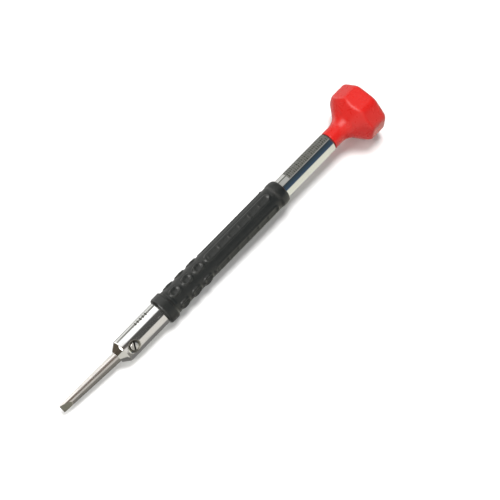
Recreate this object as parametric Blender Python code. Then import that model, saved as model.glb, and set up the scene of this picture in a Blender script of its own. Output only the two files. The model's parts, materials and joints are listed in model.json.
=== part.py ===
"""Precision screwdriver with a swivel head, a clamped blade and a rubber grip.

The tool lies on its side as it rests on a bench: on the grip's front collar and on a flat
of the octagonal head. It is drawn along its own axis, x running from the blade's tip to the
back of the head, and one empty tilts and stands the whole tool on z = 0. Metres, +Z up.
"""
import math

import bmesh
import bpy
from mathutils import Vector

MM = 0.001
TAU = 2.0 * math.pi

# ---- driving dimensions, x measured along the tool from the blade's tip ----
NOSE_FRONT = 18.5 * MM            # small end of the nose cone
CONE_END = 20.4 * MM              # where the cone meets the nose
GRIP_FRONT = 34.0 * MM
GRIP_REAR = 79.15 * MM
SHAFT_REAR = 97.6 * MM            # end face of the rear shaft, behind which the head turns
NECK_FRONT = 97.95 * MM           # front face of the head's neck
RIM_FRONT = 107.2 * MM            # where the head's flare meets its rim
HEAD_BACK = 112.7 * MM

NOSE_TIP_RADIUS = 1.85 * MM
NOSE_RADIUS = 3.3 * MM
SHAFT_RADIUS = 2.75 * MM
NECK_RADIUS = 2.67 * MM
RIM_RADIUS = 8.0 * MM             # round stock that the rim's flats are cut from
RIM_APOTHEM = 7.45 * MM           # distance from the axis to a flat of the rim
RIM_FLATS = 8
CONE_ANGLE = math.radians(50.0)   # slope of the flare where it meets the rim
SWEEP_RADIUS = 5.2 * MM           # of the flare between neck and cone
RIM_FRONT_ROUND = 0.6 * MM
EDGE_BREAK = 0.2 * MM             # chamfer on turned edges

# grip
COLLAR_RADIUS = 4.0 * MM
COLLAR_LENGTH = 3.4 * MM
GROOVE_LENGTH = 0.9 * MM
GROOVE_RADIUS = 3.55 * MM
GRIP_RADIUS_FRONT = 3.9 * MM
GRIP_RADIUS_REAR = 3.6 * MM
GRIP_TAPER_END = 74.15 * MM       # behind this the grip is cylindrical
GROOVE_SLOPE = 0.3 * MM           # length of the groove's sloping sides
GRIP_END_ROUND = 0.7 * MM
GRIP_FRONT_ROUND = 0.7 * MM

# blade and its clamp
BLADE_RADIUS = 1.45 * MM          # shank, in the nose bore
BLADE_TIP_RADIUS = 1.08 * MM
BLADE_SHANK_END = 34.4 * MM
BLADE_BEND = 0.72 * MM            # how far the tip stands to one side of the axis
TIP_THICKNESS = 0.34 * MM
TIP_FLAT_LENGTH = 2.6 * MM
TIP_ROLL = math.radians(46.0)     # turn of the tip's flats about the tool's axis, towards -Y
WEDGE_LENGTH = 16.0 * MM          # size of the blocks that cut the flats
WEDGE_WIDTH = 8.0 * MM
WEDGE_DEPTH = 4.0 * MM
BORE_RADIUS = 1.5 * MM
BORE_END = 35.0 * MM
CLAMP_X = 23.2 * MM
CLAMP_ROLL = math.radians(40.0)   # from straight up towards -Y
CLAMP_RADIUS = 1.08 * MM
CLAMP_HOLE_RADIUS = 1.15 * MM
CLAMP_MOUTH_RADIUS = 1.72 * MM
CLAMP_MOUTH_DEPTH = 0.45 * MM
CLAMP_INNER = 1.53 * MM           # the screw's inner end, measured from the tool's axis
CLAMP_OUTER = 3.14 * MM
CLAMP_SLOT_WIDTH = 0.46 * MM
CLAMP_SLOT_DEPTH = 0.6 * MM
CLAMP_SLOT_TURN = math.radians(62.0)

# spindle that the head turns on
JOURNAL_RADIUS = 1.75 * MM
JOURNAL_END = 105.1 * MM
SEAT_RADIUS = 1.47 * MM
SEAT_END = 109.05 * MM
TAP_RADIUS = 0.80 * MM
TAP_DEPTH = 4.4 * MM
DRILL_POINT = 0.6                 # height of a drilled hole's end cone over its radius

# ball bearing, 3 x 8 x 4 mm with seven balls
BEARING_FRONT = 105.2 * MM
BEARING_WIDTH = 4.0 * MM
BEARING_OUTER = 4.0 * MM
BEARING_BORE = 1.5 * MM
PITCH_RADIUS = 2.75 * MM
BALL_RADIUS = 0.794 * MM
GROOVE_CURVE = 0.86 * MM
INNER_SHOULDER = 2.12 * MM
OUTER_SHOULDER = 3.38 * MM
BALL_COUNT = 7
CAGE_WIDTH = 2.3 * MM
CAGE_THICKNESS = 0.36 * MM
POCKET_RADIUS = 0.88 * MM
SHIELD_THICKNESS = 0.16 * MM
SHIELD_INSET = 0.08 * MM
SHIELD_INNER = 2.24 * MM
SHIELD_OUTER = 3.56 * MM
SHIELD_SEAT = 3.6 * MM
SHIELD_SEAT_DEPTH = 0.3 * MM

# head
BUSH_INNER = 1.81 * MM
BUSH_OUTER = 2.14 * MM
BUSH_SEAT = 2.18 * MM
BUSH_LENGTH = 3.4 * MM
THROAT_RADIUS = 1.95 * MM
BEARING_SEAT = 4.04 * MM
BEARING_SHOULDER_RADIUS = 3.6 * MM
BEARING_SHOULDER_DEPTH = 0.5 * MM
DISH_RADIUS = 6.2 * MM
DISH_SEAT = 6.25 * MM
DISH_FRONT = 110.75 * MM
DISH_SAG = 1.1 * MM
NECK_WASHER_INNER = 1.82 * MM
NECK_WASHER_OUTER = 2.45 * MM
NECK_WASHER_THICKNESS = 0.2 * MM
WASHER_INNER = 0.85 * MM
WASHER_OUTER = 1.9 * MM
WASHER_THICKNESS = 0.25 * MM
SCREW_RADIUS = 0.73 * MM
SCREW_HEAD_RADIUS = 1.45 * MM
SCREW_HEAD_HEIGHT = 0.8 * MM
SCREW_LENGTH = 3.6 * MM
SCREW_SLOT = 0.35 * MM

SMALL_GAP = 0.05 * MM
COARSE = 24
MEDIUM = 36
FINE = 48
SHARP_ANGLE = math.radians(32.0)


# ---- helpers ----
def clear_scene():
    for obj in list(bpy.data.objects):
        bpy.data.objects.remove(obj, do_unlink=True)


def make_material(name, color, roughness, metallic):
    material = bpy.data.materials.new(name)
    material.use_nodes = True
    shader = material.node_tree.nodes["Principled BSDF"]
    shader.inputs["Base Color"].default_value = (*color, 1.0)
    shader.inputs["Roughness"].default_value = roughness
    shader.inputs["Metallic"].default_value = metallic
    material.diffuse_color = (*color, 1.0)
    return material


def make_empty(name, parent=None, location=(0.0, 0.0, 0.0), rotation=(0.0, 0.0, 0.0)):
    empty = bpy.data.objects.new(name, None)
    empty.location = location
    empty.rotation_euler = rotation
    empty.empty_display_size = 5.0 * MM
    empty.parent = parent
    bpy.context.scene.collection.objects.link(empty)
    return empty


def finish_object(name, bm, material, parent, location=(0.0, 0.0, 0.0), rotation=(0.0, 0.0, 0.0)):
    """Turn the mesh under construction into a smooth-shaded object."""
    bmesh.ops.recalc_face_normals(bm, faces=bm.faces)
    mesh = bpy.data.meshes.new(name)
    bm.to_mesh(mesh)
    bm.free()
    mesh.shade_smooth()
    mesh.set_sharp_from_angle(angle=SHARP_ANGLE)
    obj = bpy.data.objects.new(name, mesh)
    obj.location = location
    obj.rotation_euler = rotation
    obj.parent = parent
    if material is not None:
        mesh.materials.append(material)
    bpy.context.scene.collection.objects.link(obj)
    return obj


def cutter(obj, target, operation="DIFFERENCE"):
    """Cut target with obj, which stays as a hidden guide."""
    obj.display_type = "WIRE"
    obj.hide_render = True
    boolean = target.modifiers.new("cut_" + obj.name, "BOOLEAN")
    boolean.operation = operation
    boolean.solver = "EXACT"
    boolean.object = obj


def arc(center_x, center_r, radius, start, end, steps):
    """Points of an arc in the (x, r) section plane, angles in degrees from +x towards +r."""
    points = []
    for index in range(steps + 1):
        angle = math.radians(start + (end - start) * index / steps)
        points.append((center_x + radius * math.cos(angle), center_r + radius * math.sin(angle)))
    return points


def turned(name, outline, steps, material, parent, start=0.0):
    """Revolve a closed (x, r) outline about the tool's axis. Points with r = 0 are poles."""
    bm = bmesh.new()
    rings = []
    for x, r in outline:
        if r == 0.0:
            rings.append([bm.verts.new((x - start, 0.0, 0.0))])
            continue
        ring = []
        for index in range(steps):
            angle = TAU * (index + 0.5) / steps
            ring.append(bm.verts.new((x - start, r * math.cos(angle), r * math.sin(angle))))
        rings.append(ring)
    for ring, following in zip(rings, rings[1:] + rings[:1]):
        if len(ring) == 1 and len(following) == 1:
            continue
        for index in range(steps):
            after = (index + 1) % steps
            corners = [ring[index % len(ring)], ring[after % len(ring)],
                       following[after % len(following)], following[index % len(following)]]
            unique = list(dict.fromkeys(corners))
            bm.faces.new(unique)
    return finish_object(name, bm, material, parent, location=(start, 0.0, 0.0))


def box_cutter(name, size, location, rotation, parent):
    bm = bmesh.new()
    bmesh.ops.create_cube(bm, size=1.0)
    bmesh.ops.scale(bm, vec=Vector(size), verts=bm.verts)
    return finish_object(name, bm, None, parent, location=location, rotation=rotation)


def cylinder_along_z(name, outline, steps, material, parent, location=(0, 0, 0), rotation=(0, 0, 0)):
    """Revolve an open (z, r) outline about the object's own z axis and close both ends."""
    bm = bmesh.new()
    rings = []
    for z, r in outline:
        ring = []
        for index in range(steps):
            angle = TAU * index / steps
            ring.append(bm.verts.new((r * math.cos(angle), r * math.sin(angle), z)))
        rings.append(ring)
    for ring, following in zip(rings, rings[1:]):
        for index in range(steps):
            after = (index + 1) % steps
            bm.faces.new((ring[index], ring[after], following[after], following[index]))
    bm.faces.new(rings[0])
    bm.faces.new(rings[-1])
    return finish_object(name, bm, material, parent, location=location, rotation=rotation)


# ---- the fixed body ----
def build_barrel(parent, material):
    """Nose, rear shaft and spindle, turned from one bar and bored for the blade."""
    outline = [
        (BORE_END + DRILL_POINT * BORE_RADIUS, 0.0),
        (BORE_END, BORE_RADIUS),
        (NOSE_FRONT + EDGE_BREAK, BORE_RADIUS),
        (NOSE_FRONT, BORE_RADIUS + EDGE_BREAK),
        (NOSE_FRONT, NOSE_TIP_RADIUS),
        (CONE_END, NOSE_RADIUS),
        (GRIP_FRONT - 2.0 * SMALL_GAP, NOSE_RADIUS),
        (GRIP_FRONT - 2.0 * SMALL_GAP, SHAFT_RADIUS),
        (SHAFT_REAR - EDGE_BREAK, SHAFT_RADIUS),
        (SHAFT_REAR, SHAFT_RADIUS - EDGE_BREAK),
        (SHAFT_REAR, JOURNAL_RADIUS),
        (JOURNAL_END, JOURNAL_RADIUS),
        (JOURNAL_END, SEAT_RADIUS),
        (SEAT_END - EDGE_BREAK, SEAT_RADIUS),
        (SEAT_END, SEAT_RADIUS - EDGE_BREAK),
        (SEAT_END, TAP_RADIUS),
        (SEAT_END - TAP_DEPTH, TAP_RADIUS),
        (SEAT_END - TAP_DEPTH - DRILL_POINT * TAP_RADIUS, 0.0),
    ]
    barrel = turned("barrel", outline, FINE, material, parent, start=NOSE_FRONT)
    hole_outline = [
        (0.0, CLAMP_HOLE_RADIUS),
        (CLAMP_OUTER - CLAMP_MOUTH_DEPTH, CLAMP_HOLE_RADIUS),
        (CLAMP_OUTER, CLAMP_MOUTH_RADIUS),
        (NOSE_RADIUS + 1.0 * MM, CLAMP_MOUTH_RADIUS),
    ]
    hole = cylinder_along_z("clamp_hole", hole_outline, COARSE, None, parent,
                            location=(CLAMP_X, 0.0, 0.0), rotation=(CLAMP_ROLL, 0.0, 0.0))
    cutter(hole, barrel)
    return barrel


def build_grip(parent, material):
    """Rubber sleeve: front collar, groove, gently tapering body and a rounded rear end."""
    bore = SHAFT_RADIUS + SMALL_GAP
    groove_start = GRIP_FRONT + COLLAR_LENGTH
    groove_end = groove_start + GROOVE_LENGTH
    front = arc(GRIP_FRONT + GRIP_FRONT_ROUND, COLLAR_RADIUS - GRIP_FRONT_ROUND,
                GRIP_FRONT_ROUND, 180.0, 90.0, 4)
    rear = arc(GRIP_REAR - GRIP_END_ROUND, GRIP_RADIUS_REAR - GRIP_END_ROUND,
               GRIP_END_ROUND, 90.0, 0.0, 5)
    outline = [(GRIP_REAR, bore), (GRIP_FRONT, bore)] + front + [
        (groove_start - GROOVE_SLOPE, COLLAR_RADIUS),
        (groove_start, GROOVE_RADIUS),
        (groove_end - GROOVE_SLOPE, GROOVE_RADIUS),
        (groove_end, GRIP_RADIUS_FRONT),
        (GRIP_TAPER_END, GRIP_RADIUS_REAR),
    ] + rear
    return turned("grip_sleeve", outline, FINE, material, parent, start=GRIP_FRONT)


# ---- blade and clamp screw ----
def build_blade(parent, material):
    """Round shank, tapered and slightly bent in front of the nose, with a ground flat tip."""
    steps = COARSE
    stations = [(0.0, BLADE_TIP_RADIUS), (0.25 * NOSE_FRONT, None), (0.5 * NOSE_FRONT, None),
                (0.75 * NOSE_FRONT, None), (NOSE_FRONT, BLADE_RADIUS),
                (BLADE_SHANK_END - EDGE_BREAK, BLADE_RADIUS),
                (BLADE_SHANK_END, BLADE_RADIUS - EDGE_BREAK)]
    bm = bmesh.new()
    rings = []
    for x, radius in stations:
        free = max(0.0, 1.0 - x / NOSE_FRONT)
        if radius is None:
            radius = BLADE_RADIUS + (BLADE_TIP_RADIUS - BLADE_RADIUS) * free
        offset = BLADE_BEND * free
        ring = []
        for index in range(steps):
            angle = TAU * index / steps
            ring.append(bm.verts.new((x, offset + radius * math.cos(angle), radius * math.sin(angle))))
        rings.append(ring)
    for ring, following in zip(rings, rings[1:]):
        for index in range(steps):
            after = (index + 1) % steps
            bm.faces.new((ring[index], ring[after], following[after], following[index]))
    bm.faces.new(rings[0])
    bm.faces.new(rings[-1])
    blade = finish_object("blade", bm, material, parent)
    slope = math.atan2(BLADE_TIP_RADIUS - 0.5 * TIP_THICKNESS, TIP_FLAT_LENGTH)
    aim = make_empty("tip_aim", parent, location=(0.0, BLADE_BEND, 0.0), rotation=(TIP_ROLL, 0.0, 0.0))
    for side, label in ((1.0, "tip_flat_upper"), (-1.0, "tip_flat_lower")):
        center = Vector((0.0, 0.0, side * 0.5 * TIP_THICKNESS))
        normal = Vector((-math.sin(slope), 0.0, side * math.cos(slope)))
        middle = center + normal * (0.5 * WEDGE_DEPTH)
        wedge = box_cutter(label, (WEDGE_LENGTH, WEDGE_WIDTH, WEDGE_DEPTH), middle,
                           (0.0, -side * slope, 0.0), aim)
        cutter(wedge, blade)
    return blade


def build_clamp_screw(parent, material):
    """Slotted grub screw, drawn along z in the frame of its own hole."""
    chamfer = 0.14 * MM
    outline = [
        (CLAMP_INNER, CLAMP_RADIUS - 2.0 * chamfer),
        (CLAMP_INNER + 2.0 * chamfer, CLAMP_RADIUS),
        (CLAMP_OUTER - chamfer, CLAMP_RADIUS),
        (CLAMP_OUTER, CLAMP_RADIUS - chamfer),
    ]
    screw = cylinder_along_z("clamp_screw", outline, COARSE, material, parent)
    slot = box_cutter("clamp_slot", (4.0 * MM, CLAMP_SLOT_WIDTH, 2.0 * CLAMP_SLOT_DEPTH),
                      (0.0, 0.0, CLAMP_OUTER), (0.0, 0.0, CLAMP_SLOT_TURN), parent)
    cutter(slot, screw)
    return screw


# ---- the swivel head ----
def flare_outline():
    """Outside of the head from neck to rim: straight neck, a sweep, then a cone."""
    # the cone passes through the rim's front corner; the sweep is tangent to neck and cone
    sweep_center_r = NECK_RADIUS + SWEEP_RADIUS
    tangent_r = sweep_center_r - SWEEP_RADIUS * math.cos(CONE_ANGLE)
    tangent_x = RIM_FRONT - (RIM_RADIUS - tangent_r) / math.tan(CONE_ANGLE)
    sweep_center_x = tangent_x - SWEEP_RADIUS * math.sin(CONE_ANGLE)
    slope = math.degrees(CONE_ANGLE)
    sweep = arc(sweep_center_x, sweep_center_r, SWEEP_RADIUS, -90.0, -90.0 + slope, 7)
    reach = RIM_FRONT_ROUND * math.tan(0.5 * CONE_ANGLE)
    rounding = arc(RIM_FRONT + reach, RIM_RADIUS - RIM_FRONT_ROUND, RIM_FRONT_ROUND,
                   90.0 + slope, 90.0, 3)
    return [(NECK_FRONT, NECK_RADIUS - EDGE_BREAK), (NECK_FRONT + EDGE_BREAK, NECK_RADIUS)] \
        + sweep + rounding


def build_head_shell(parent, material):
    """Flared moulding whose round rim is cut to an octagon, bored for bush and bearing."""
    edge = 0.45 * MM
    outline = flare_outline() + [
        (HEAD_BACK - edge, RIM_RADIUS),
        (HEAD_BACK, RIM_RADIUS - edge - 0.35 * MM),
        (HEAD_BACK, DISH_SEAT),
        (DISH_FRONT - SMALL_GAP, DISH_SEAT),
        (DISH_FRONT - SMALL_GAP, BEARING_SEAT),
        (BEARING_FRONT - SMALL_GAP, BEARING_SEAT),
        (BEARING_FRONT - SMALL_GAP, BEARING_SHOULDER_RADIUS),
        (BEARING_FRONT - BEARING_SHOULDER_DEPTH, BEARING_SHOULDER_RADIUS - 0.3 * MM),
        (BEARING_FRONT - BEARING_SHOULDER_DEPTH, THROAT_RADIUS),
        (NECK_FRONT + BUSH_LENGTH + SMALL_GAP, THROAT_RADIUS),
        (NECK_FRONT + BUSH_LENGTH + SMALL_GAP, BUSH_SEAT),
        (NECK_FRONT, BUSH_SEAT),
    ]
    shell = turned("head_shell", outline, FINE, material, parent, start=NECK_FRONT)
    circumradius = RIM_APOTHEM / math.cos(math.pi / RIM_FLATS)
    outline = [(NECK_FRONT - 1.0 * MM, 0.0), (NECK_FRONT - 1.0 * MM, circumradius),
               (HEAD_BACK + 1.0 * MM, circumradius), (HEAD_BACK + 1.0 * MM, 0.0)]
    prism = turned("rim_octagon", outline, RIM_FLATS, None, parent, start=NECK_FRONT)
    cutter(prism, shell, "INTERSECT")
    return shell


def build_finger_dish(parent, material):
    """Pressed-in disc with a shallow spherical hollow for the fingertip."""
    lip = 0.5 * MM
    hollow_radius = DISH_RADIUS - lip
    steps = 6
    hollow = []
    for index in range(steps, 0, -1):
        share = index / steps
        hollow.append((HEAD_BACK - DISH_SAG * (1.0 - share * share), hollow_radius * share))
    outline = [(DISH_FRONT, 0.0), (DISH_FRONT, DISH_RADIUS), (HEAD_BACK - EDGE_BREAK, DISH_RADIUS),
               (HEAD_BACK, DISH_RADIUS - EDGE_BREAK)] + hollow + [(HEAD_BACK - DISH_SAG, 0.0)]
    return turned("finger_dish", outline, FINE, material, parent, start=DISH_FRONT)


def ring(name, front, length, inner, outer, steps, material, parent):
    outline = [(front, inner), (front, outer), (front + length, outer), (front + length, inner)]
    return turned(name, outline, steps, material, parent, start=front)


def build_bearing(spindle, head, cage_axis, steel, cage_metal, shield_metal):
    """Deep-groove bearing: two grooved rings, a pocketed cage, seven balls and two shields."""
    middle = BEARING_FRONT + 0.5 * BEARING_WIDTH
    back = BEARING_FRONT + BEARING_WIDTH
    chamfer = 0.12 * MM

    half = math.degrees(math.acos((PITCH_RADIUS - INNER_SHOULDER) / GROOVE_CURVE))
    groove = arc(middle, PITCH_RADIUS, GROOVE_CURVE, -90.0 + half, -90.0 - half, 6)
    outline = [(back, BEARING_BORE), (BEARING_FRONT, BEARING_BORE),
               (BEARING_FRONT, INNER_SHOULDER)] + groove[::-1] + [(back, INNER_SHOULDER)]
    turned("bearing_inner_ring", outline, MEDIUM, steel, spindle, start=BEARING_FRONT)

    half = math.degrees(math.acos((OUTER_SHOULDER - PITCH_RADIUS) / GROOVE_CURVE))
    groove = arc(middle, PITCH_RADIUS, GROOVE_CURVE, 90.0 - half, 90.0 + half, 6)
    outline = [
        (BEARING_FRONT, SHIELD_SEAT), (BEARING_FRONT, BEARING_OUTER - chamfer),
        (BEARING_FRONT + chamfer, BEARING_OUTER), (back - chamfer, BEARING_OUTER),
        (back, BEARING_OUTER - chamfer), (back, SHIELD_SEAT), (back - SHIELD_SEAT_DEPTH, SHIELD_SEAT),
        (back - SHIELD_SEAT_DEPTH, OUTER_SHOULDER)] + groove + [
        (BEARING_FRONT + SHIELD_SEAT_DEPTH, OUTER_SHOULDER),
        (BEARING_FRONT + SHIELD_SEAT_DEPTH, SHIELD_SEAT)]
    turned("bearing_outer_ring", outline, MEDIUM, steel, head, start=BEARING_FRONT)

    ring("bearing_shield_front", BEARING_FRONT + SHIELD_INSET, SHIELD_THICKNESS, SHIELD_INNER,
         SHIELD_OUTER, MEDIUM, shield_metal, head)
    ring("bearing_shield_rear", back - SHIELD_INSET - SHIELD_THICKNESS, SHIELD_THICKNESS,
         SHIELD_INNER, SHIELD_OUTER, MEDIUM, shield_metal, head)

    cage = ring("bearing_cage", middle - 0.5 * CAGE_WIDTH, CAGE_WIDTH,
                PITCH_RADIUS - 0.5 * CAGE_THICKNESS, PITCH_RADIUS + 0.5 * CAGE_THICKNESS,
                BALL_COUNT * 5, cage_metal, cage_axis)
    for index in range(BALL_COUNT):
        angle = TAU * index / BALL_COUNT
        pocket = cylinder_along_z("pocket_%d" % (index + 1),
                                  [(0.6 * PITCH_RADIUS, POCKET_RADIUS), (1.4 * PITCH_RADIUS, POCKET_RADIUS)],
                                  16, None, cage_axis, location=(middle, 0.0, 0.0),
                                  rotation=(angle, 0.0, 0.0))
        cutter(pocket, cage)
        bm = bmesh.new()
        bmesh.ops.create_uvsphere(bm, u_segments=12, v_segments=8, radius=BALL_RADIUS)
        finish_object("bearing_ball_%d" % (index + 1), bm, steel, cage_axis,
                      location=(middle, -PITCH_RADIUS * math.sin(angle), PITCH_RADIUS * math.cos(angle)))


def build_head_fittings(spindle, head, bronze, nylon, steel):
    """Neck bush and washer, and the washer and screw that hold the head on its spindle."""
    ring("neck_bush", NECK_FRONT + SMALL_GAP, BUSH_LENGTH - SMALL_GAP, BUSH_INNER, BUSH_OUTER,
         MEDIUM, bronze, head)
    gap = NECK_FRONT - SHAFT_REAR - NECK_WASHER_THICKNESS
    ring("neck_washer", SHAFT_REAR + 0.5 * gap, NECK_WASHER_THICKNESS, NECK_WASHER_INNER,
         NECK_WASHER_OUTER, MEDIUM, nylon, head)
    washer_front = BEARING_FRONT + BEARING_WIDTH + SMALL_GAP
    ring("retaining_washer", washer_front, WASHER_THICKNESS, WASHER_INNER, WASHER_OUTER, MEDIUM,
         steel, spindle)
    under_head = washer_front + WASHER_THICKNESS + SMALL_GAP
    top = under_head + SCREW_HEAD_HEIGHT
    outline = [
        (under_head - SCREW_LENGTH, 0.0), (under_head - SCREW_LENGTH, SCREW_RADIUS - EDGE_BREAK),
        (under_head - SCREW_LENGTH + EDGE_BREAK, SCREW_RADIUS), (under_head, SCREW_RADIUS),
        (under_head, SCREW_HEAD_RADIUS), (top - 0.35 * MM, SCREW_HEAD_RADIUS),
        (top, 0.75 * SCREW_HEAD_RADIUS), (top, 0.0)]
    screw = turned("retaining_screw", outline, COARSE, steel, spindle, start=under_head)
    slot = box_cutter("retaining_slot", (SCREW_HEAD_HEIGHT, 4.0 * MM, SCREW_SLOT), (top, 0.0, 0.0),
                      (0.0, 0.0, 0.0), spindle)
    cutter(slot, screw)


def resting_tilt():
    """Angle of the axis above the bench when collar and head flat both touch it."""
    collar_x = GRIP_FRONT + GRIP_FRONT_ROUND
    flat_front_x = RIM_FRONT - (RIM_RADIUS - RIM_APOTHEM) / math.tan(CONE_ANGLE)
    return math.asin((RIM_APOTHEM - COLLAR_RADIUS) / (flat_front_x - collar_x))


def stand_on_bench(root):
    """Move the tool so that the centre of the bottom of its bounding box is the origin."""
    bpy.context.view_layer.update()
    graph = bpy.context.evaluated_depsgraph_get()
    low = Vector((math.inf,) * 3)
    high = Vector((-math.inf,) * 3)
    for obj in bpy.data.objects:
        if obj.type != "MESH" or obj.hide_render:
            continue
        shaped = obj.evaluated_get(graph)
        for vertex in shaped.data.vertices:
            place = shaped.matrix_world @ vertex.co
            low = Vector(map(min, low, place))
            high = Vector(map(max, high, place))
    root.location += Vector((-0.5 * (low.x + high.x), -0.5 * (low.y + high.y), -low.z))
    bpy.context.view_layer.update()


def main():
    clear_scene()
    chrome = make_material("chrome_plate", (0.82, 0.82, 0.80), 0.08, 1.0)
    blade_steel = make_material("blade_steel", (0.62, 0.60, 0.57), 0.28, 1.0)
    rubber = make_material("grip_rubber", (0.035, 0.037, 0.036), 0.62, 0.0)
    red = make_material("red_plastic", (0.80, 0.035, 0.02), 0.32, 0.0)
    screw_steel = make_material("screw_steel", (0.70, 0.69, 0.66), 0.22, 1.0)
    bearing_steel = make_material("bearing_steel", (0.72, 0.73, 0.74), 0.15, 1.0)
    shield_steel = make_material("shield_steel", (0.55, 0.56, 0.58), 0.35, 1.0)
    cage_brass = make_material("cage_brass", (0.78, 0.60, 0.28), 0.30, 1.0)
    bronze = make_material("bush_bronze", (0.60, 0.42, 0.22), 0.40, 1.0)
    nylon = make_material("washer_nylon", (0.03, 0.03, 0.03), 0.50, 0.0)

    tool = make_empty("tool_axis", rotation=(0.0, -resting_tilt(), 0.0))
    head = make_empty("head_axis", tool)
    cage_axis = make_empty("cage_axis", tool)
    clamp_axis = make_empty("clamp_axis", tool, location=(CLAMP_X, 0.0, 0.0),
                            rotation=(CLAMP_ROLL, 0.0, 0.0))

    build_barrel(tool, chrome)
    build_grip(tool, rubber)
    build_blade(tool, blade_steel)
    build_clamp_screw(clamp_axis, screw_steel)
    build_head_shell(head, red)
    build_finger_dish(head, red)
    build_bearing(tool, head, cage_axis, bearing_steel, cage_brass, shield_steel)
    build_head_fittings(tool, head, bronze, nylon, screw_steel)
    stand_on_bench(tool)


main()
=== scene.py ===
"""Looks of a precision screwdriver with a swivel head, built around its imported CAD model.

The detailed pieces are drawn in the tool's own frame: x runs from the blade's tip along the
tool's axis, +y is the tool's left side and z is up. Each piece stands for one CAD node, rides
on that node's body and keeps its size. Light, floor and camera follow at the end. Metres.
"""
import json
import math

import bmesh
import bpy
import numpy as np
from mathutils import Matrix, Vector

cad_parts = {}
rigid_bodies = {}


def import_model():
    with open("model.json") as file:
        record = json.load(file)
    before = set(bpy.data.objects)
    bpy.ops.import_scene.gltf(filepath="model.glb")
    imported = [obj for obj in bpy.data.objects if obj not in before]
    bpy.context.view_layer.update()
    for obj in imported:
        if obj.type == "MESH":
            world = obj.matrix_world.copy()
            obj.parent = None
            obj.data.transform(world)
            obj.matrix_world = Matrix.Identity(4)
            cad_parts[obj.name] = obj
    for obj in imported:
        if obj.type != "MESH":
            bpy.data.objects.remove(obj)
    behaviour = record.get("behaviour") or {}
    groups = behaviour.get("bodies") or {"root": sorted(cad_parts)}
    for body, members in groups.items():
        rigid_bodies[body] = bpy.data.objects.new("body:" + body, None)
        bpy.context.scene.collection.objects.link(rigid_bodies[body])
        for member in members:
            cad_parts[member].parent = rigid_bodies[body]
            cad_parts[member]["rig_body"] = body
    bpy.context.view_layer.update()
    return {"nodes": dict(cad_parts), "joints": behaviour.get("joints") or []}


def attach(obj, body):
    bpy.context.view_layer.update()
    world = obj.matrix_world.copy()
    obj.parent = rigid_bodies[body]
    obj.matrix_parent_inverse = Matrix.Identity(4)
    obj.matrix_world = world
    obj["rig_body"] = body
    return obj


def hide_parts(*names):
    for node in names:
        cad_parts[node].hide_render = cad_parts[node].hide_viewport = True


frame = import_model()

MM = 0.001
TAU = 2.0 * math.pi
TURNED_STEPS = 192                # steps round a turned piece
FILLET_STEPS = 5                  # steps along a fillet
SHARP_ANGLE = math.radians(34.0)


# ---- the tool's frame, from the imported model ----
def find_joint(name):
    return next(joint for joint in frame["joints"] if joint["name"] == name)


def tool_frame():
    """Matrix from tool coordinates to the model's: its x axis is the axis that the head turns on."""
    spin = find_joint("head_spin")
    axis = Vector(spin["axis"]).normalized()
    side = Vector((0.0, 1.0, 0.0))
    point = Vector(spin["pos_m"])
    tip = min((vertex.co - point).dot(axis) for vertex in frame["nodes"]["blade"].data.vertices)
    origin = point + axis * tip
    matrix = Matrix((axis, side, axis.cross(side))).transposed().to_4x4()
    matrix.translation = origin
    return matrix


TOOL = tool_frame()


def extent(node):
    """Front, rear and largest radius of a CAD node about the tool's axis."""
    to_tool = TOOL.inverted()
    points = [to_tool @ vertex.co for vertex in frame["nodes"][node].data.vertices]
    radius = max(math.hypot(point.y, point.z) for point in points)
    return min(point.x for point in points), max(point.x for point in points), radius


NOSE_FRONT, SPINDLE_END, NOSE_RADIUS = extent("barrel")
GRIP_FRONT, GRIP_REAR, COLLAR_RADIUS = extent("grip_sleeve")
SHANK_END = extent("blade")[1]
NECK_FRONT, HEAD_BACK, RIM_RADIUS = extent("head_shell")
DISH_FRONT, DISH_BACK, DISH_RADIUS = extent("finger_dish")


def clamp_frame():
    """Place of the clamp screw: its z axis is the axis that the screw turns on."""
    turn = find_joint("clamp_screw_turn")
    upward = Vector(turn["axis"]).normalized()
    ahead = (TOOL.to_3x3() @ Vector((1.0, 0.0, 0.0))).normalized()
    matrix = Matrix((ahead, upward.cross(ahead), upward)).transposed().to_4x4()
    matrix.translation = Vector(turn["pos_m"])
    return matrix


CLAMP = clamp_frame()


def clamp_extent():
    """Inner end, outer end and radius of the CAD clamp screw in its own frame."""
    to_clamp = CLAMP.inverted()
    points = [to_clamp @ vertex.co for vertex in frame["nodes"]["clamp_screw"].data.vertices]
    radius = max(math.hypot(point.x, point.y) for point in points)
    return min(point.z for point in points), max(point.z for point in points), radius


CLAMP_INNER, CLAMP_OUTER, CLAMP_RADIUS = clamp_extent()
CLAMP_HOLE_RADIUS = CLAMP_RADIUS + 0.07 * MM
CLAMP_MOUTH_RADIUS = 1.72 * MM
CLAMP_MOUTH_DEPTH = 0.45 * MM
CLAMP_HOLE_STEPS = 72
CLAMP_SCREW_STEPS = 96


# ---- mesh helpers ----
def soften(corners):
    """Outline through (x, r, fillet) corners, each fillet an arc tangent to its two edges."""
    outline = []
    for index, (x, r, fillet) in enumerate(corners):
        if fillet == 0.0:
            outline.append((x, r))
            continue
        corner = Vector((x, r))
        before = (Vector(corners[index - 1][:2]) - corner).normalized()
        after = (Vector(corners[(index + 1) % len(corners)][:2]) - corner).normalized()
        half = 0.5 * before.angle(after)
        center = corner + (before + after).normalized() * (fillet / math.sin(half))
        first = corner + before * (fillet / math.tan(half)) - center
        last = corner + after * (fillet / math.tan(half)) - center
        start = math.atan2(first.y, first.x)
        turn = math.remainder(math.atan2(last.y, last.x) - start, TAU)
        for step in range(FILLET_STEPS + 1):
            angle = start + turn * step / FILLET_STEPS
            outline.append((center.x + fillet * math.cos(angle), center.y + fillet * math.sin(angle)))
    return outline


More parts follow.
